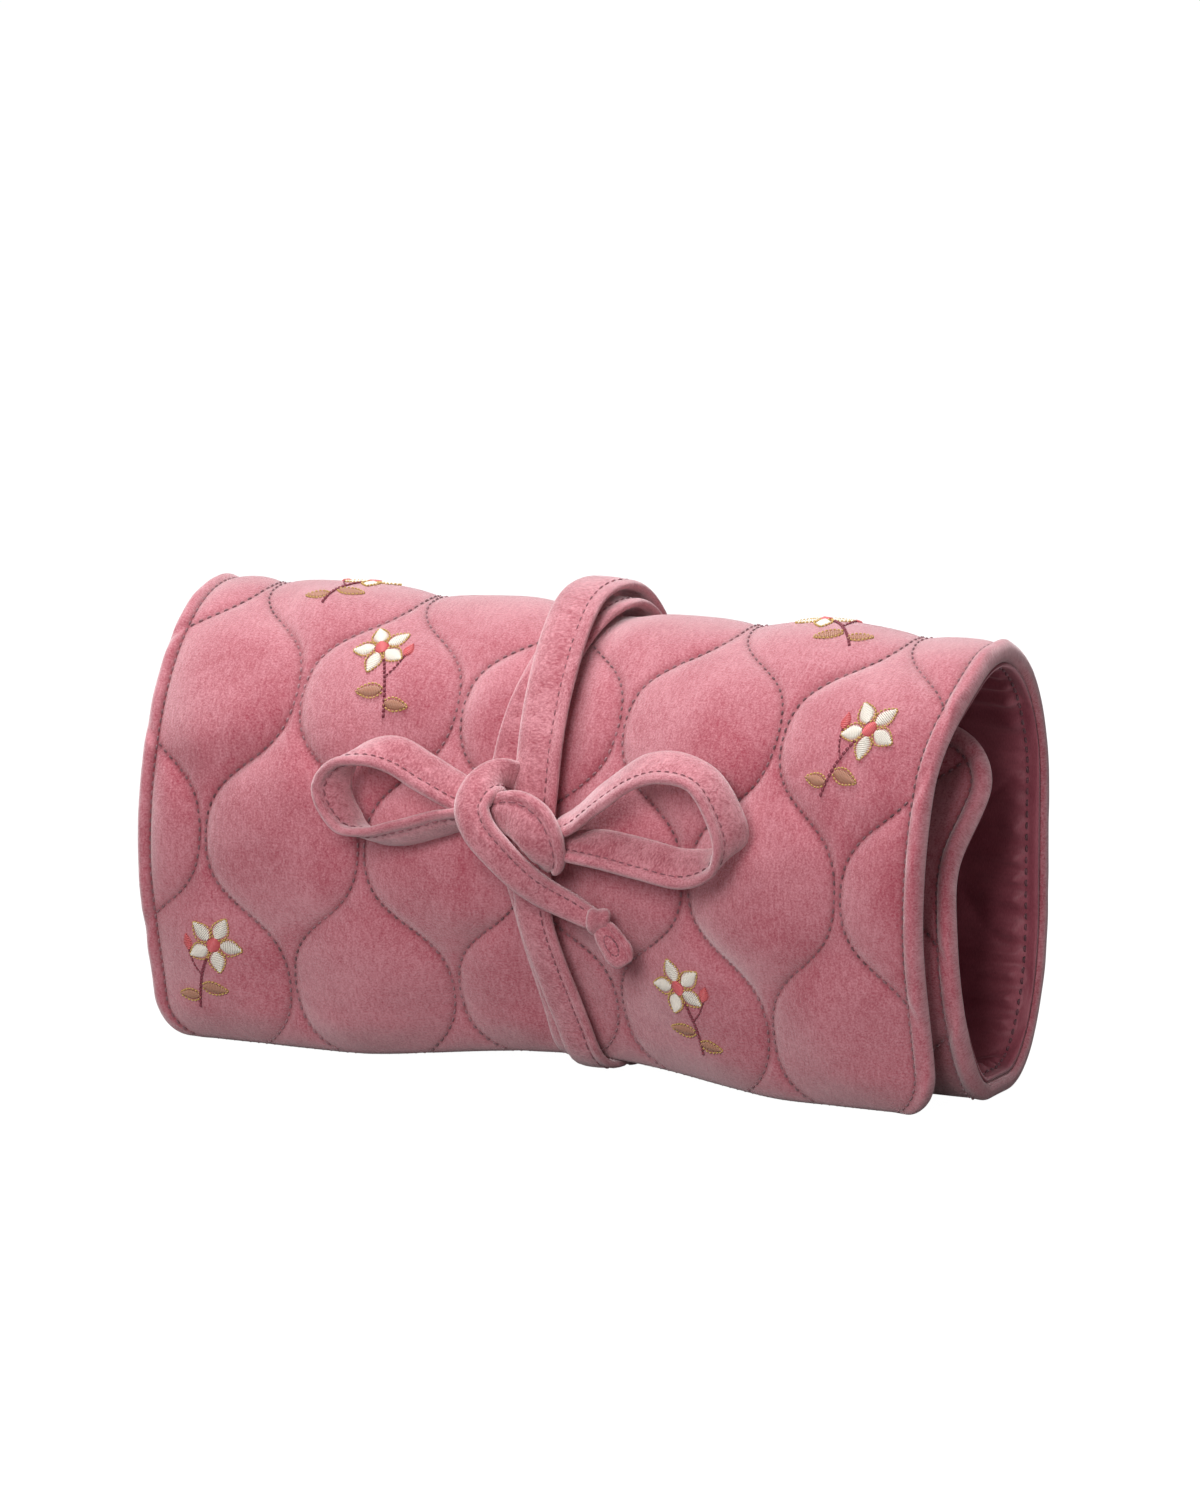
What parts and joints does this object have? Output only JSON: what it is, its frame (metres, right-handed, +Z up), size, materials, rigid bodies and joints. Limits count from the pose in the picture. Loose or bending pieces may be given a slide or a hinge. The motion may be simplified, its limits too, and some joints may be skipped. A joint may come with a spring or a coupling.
{
  "type": "jewelry roll",
  "caption": "Quilted velvet jewelry roll, rolled shut and tied with a bow, with a satin lining, a zip pocket and a padded ring bar inside.",
  "frame": {"origin": "on the surface the roll stands on, under the middle of its length and of the rolled panel's depth", "axes": "+X along the roll, -Y towards the front flap and the bow, +Z up"},
  "size_m": [0.22, 0.091, 0.1175],
  "materials": {
    "velvet": "dusty rose velvet, short pile with a soft sheen, quilted",
    "wadding": "polyester wadding",
    "lining": "mauve satin lining",
    "strap": "dusty rose velvet strap with a stitched edge",
    "zip_tape": "woven zip tape",
    "zip_nylon": "nylon zip coil",
    "brass": "pale gold plated, polished"
  },
  "bodies": {
    "back": {"back_velvet": "velvet", "back_wadding": "wadding", "back_lining": "lining", "tie_under_back": "strap", "tie_over_back": "strap", "zip_tape_upper": "zip_tape", "zip_tape_lower": "zip_tape", "pocket_panel": "lining", "zip_coil": "zip_nylon", "zip_stop_left": "brass", "zip_stop_right": "brass", "ring_bar_tab": "velvet", "stud_socket": "brass"},
    "top_back": {"top_back_velvet": "velvet", "top_back_wadding": "wadding", "top_back_lining": "lining", "tie_under_top_back": "strap", "tie_over_top_back": "strap"},
    "top_front": {"top_front_velvet": "velvet", "top_front_wadding": "wadding", "top_front_lining": "lining", "tie_under_top_front": "strap", "tie_over_top_front": "strap"},
    "front": {"front_velvet": "velvet", "front_wadding": "wadding", "front_lining": "lining", "tie_under_front": "strap", "tie_over_front": "strap", "bow_loop_left": "strap", "bow_loop_right": "strap", "bow_turn": "strap", "bow_tail": "strap", "bow_knot": "strap", "bow_tail_tip": "strap"},
    "inner": {"inner_velvet": "velvet", "inner_wadding": "wadding", "inner_lining": "lining"},
    "zip_slider": {"zip_slider": "brass"},
    "zip_pull": {"zip_pull": "brass"},
    "ring_bar": {"ring_bar": "velvet", "ring_bar_stud_tab": "velvet", "stud_cap": "brass"}
  },
  "joints": [
    {"name": "unroll_back", "type": "hinge", "parent": "back", "child": "top_back", "pos_m": [0, 0.03368, 0.10064], "axis": [-1, 0, 0], "range_deg": [0, 60]},
    {"name": "unroll_crest", "type": "hinge", "parent": "top_back", "child": "top_front", "pos_m": [0, 0.00675, 0.1177], "axis": [-1, 0, 0], "range_deg": [0, 60]},
    {"name": "unroll_front", "type": "hinge", "parent": "top_front", "child": "front", "pos_m": [0, -0.02957, 0.09404], "axis": [-1, 0, 0], "range_deg": [0, 60]},
    {"name": "unroll_inner", "type": "hinge", "parent": "back", "child": "inner", "pos_m": [0, -0.02027, 0.01723], "axis": [1, 0, 0], "range_deg": [0, 90]},
    {"name": "zip_slide", "type": "slide", "parent": "back", "child": "zip_slider", "axis": [1, 0, 0], "range_m": [0, 0.042]},
    {"name": "zip_pull_swing", "type": "hinge", "parent": "zip_slider", "child": "zip_pull", "pos_m": [-0.09, 0.02355, 0.0701], "axis": [-1, 0, 0], "range_deg": [0, 75]},
    {"name": "ring_bar_swing", "type": "hinge", "parent": "back", "child": "ring_bar", "pos_m": [0.076, 0.02234, 0.062], "axis": [0, 0, 1], "range_deg": [0, 15]}
  ],
  "couplings": [
    {"joint": "unroll_crest", "follows": "unroll_back", "ratio": 1},
    {"joint": "unroll_front", "follows": "unroll_back", "ratio": 1},
    {"joint": "unroll_inner", "follows": "unroll_back", "ratio": 1.5}
  ]
}
